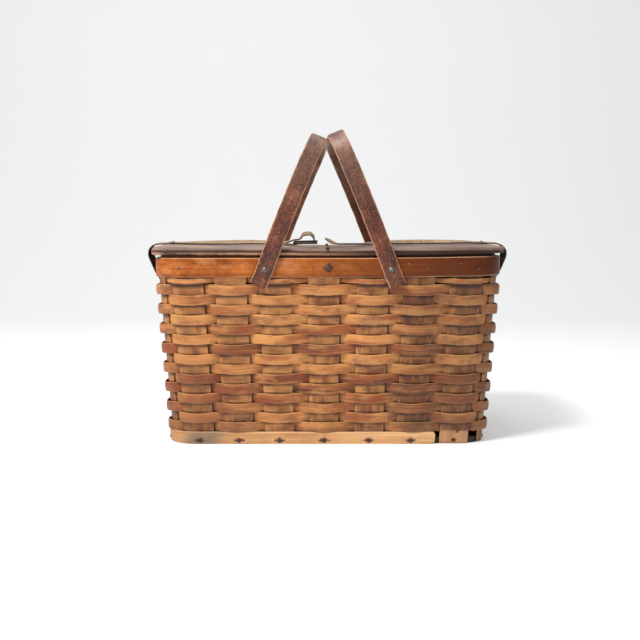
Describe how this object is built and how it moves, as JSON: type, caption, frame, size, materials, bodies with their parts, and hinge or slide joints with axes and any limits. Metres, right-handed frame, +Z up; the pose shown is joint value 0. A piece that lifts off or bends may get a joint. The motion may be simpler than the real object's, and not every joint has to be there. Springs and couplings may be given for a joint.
{
  "type": "picnic basket",
  "caption": "Rectangular splint-woven picnic basket with centre-hinged wooden lids, leaning bentwood swing handles and a buckled leather strap.",
  "frame": {"origin": "centre of the basket's footprint, on the surface it stands on", "axes": "+X along the basket's length to the right, -Y the front, +Z up"},
  "size_m": [0.5166, 0.3086, 0.4181],
  "materials": {
    "weaver_splint": "aged splint, honey to reddish brown",
    "stake_splint": "aged splint",
    "rim_wood": "worn varnish, orange brown",
    "base_wood": "pale bare wood",
    "lid_wood": "weathered varnish",
    "handle_wood": "dark varnish, worn at the edges",
    "dark_iron": "dark, rusted",
    "nail_steel": "dull",
    "rivet_steel": "dull bright",
    "hinge_brass": "tarnished",
    "strap_leather": "dry, worn tan"
  },
  "bodies": {
    "basket": {"bottom_board": "base_wood", "base_band": "base_wood", "front_stakes": "stake_splint", "right_stakes": "stake_splint", "back_stakes": "stake_splint", "left_stakes": "stake_splint", "outer_rim": "rim_wood", "inner_rim": "rim_wood", "center_bar": "rim_wood", "weaver_01": "weaver_splint", "weaver_02": "weaver_splint", "weaver_03": "weaver_splint", "weaver_04": "weaver_splint", "weaver_05": "weaver_splint", "weaver_06": "weaver_splint", "weaver_07": "weaver_splint", "weaver_08": "weaver_splint", "weaver_09": "weaver_splint", "weaver_10": "weaver_splint", "weaver_11": "weaver_splint", "weaver_12": "weaver_splint", "weaver_13": "weaver_splint", "weaver_14": "weaver_splint", "weaver_15": "weaver_splint", "weaver_16": "weaver_splint", "base_nails": "dark_iron", "rim_nails": "nail_steel", "pyramid_nails": "dark_iron", "handle_rivets_left": "rivet_steel", "handle_rivets_right": "rivet_steel", "rivet_washers": "rivet_steel", "hinge_posts": "hinge_brass", "hinge_pins": "hinge_brass"},
    "lid_left": {"lid_left": "lid_wood", "hinge_leaves_left": "hinge_brass", "hinge_nails_left": "hinge_brass", "strap_left": "strap_leather", "strap_tacks_left": "dark_iron", "buckle_frame": "dark_iron", "buckle_loop": "strap_leather"},
    "lid_right": {"lid_right": "lid_wood", "hinge_leaves_right": "hinge_brass", "hinge_nails_right": "hinge_brass", "strap_right": "strap_leather", "strap_tip": "strap_leather", "strap_tacks_right": "dark_iron"},
    "handle_left": {"handle_left": "handle_wood"},
    "handle_right": {"handle_right": "handle_wood"},
    "buckle_prong": {"buckle_prong": "dark_iron"}
  },
  "joints": [
    {"name": "lid_left_hinge", "type": "hinge", "parent": "basket", "child": "lid_left", "pos_m": [0, 0, 0.2605], "axis": [0, 1, 0], "range_deg": [0, 60]},
    {"name": "lid_right_hinge", "type": "hinge", "parent": "basket", "child": "lid_right", "pos_m": [0, 0, 0.2605], "axis": [0, -1, 0], "range_deg": [0, 60], "deforming": ["strap_tip"]},
    {"name": "handle_left_swing", "type": "hinge", "parent": "basket", "child": "handle_left", "pos_m": [-0.08248, 0, 0.2343], "axis": [0, -1, 0], "range_deg": [0, 148]},
    {"name": "handle_right_swing", "type": "hinge", "parent": "basket", "child": "handle_right", "pos_m": [0.08248, 0, 0.2343], "axis": [0, 1, 0], "range_deg": [0, 150]},
    {"name": "prong_swing", "type": "hinge", "parent": "lid_left", "child": "buckle_prong", "pos_m": [-0.0464, 0, 0.2659], "axis": [0, -1, 0], "range_deg": [0, 100]}
  ]
}
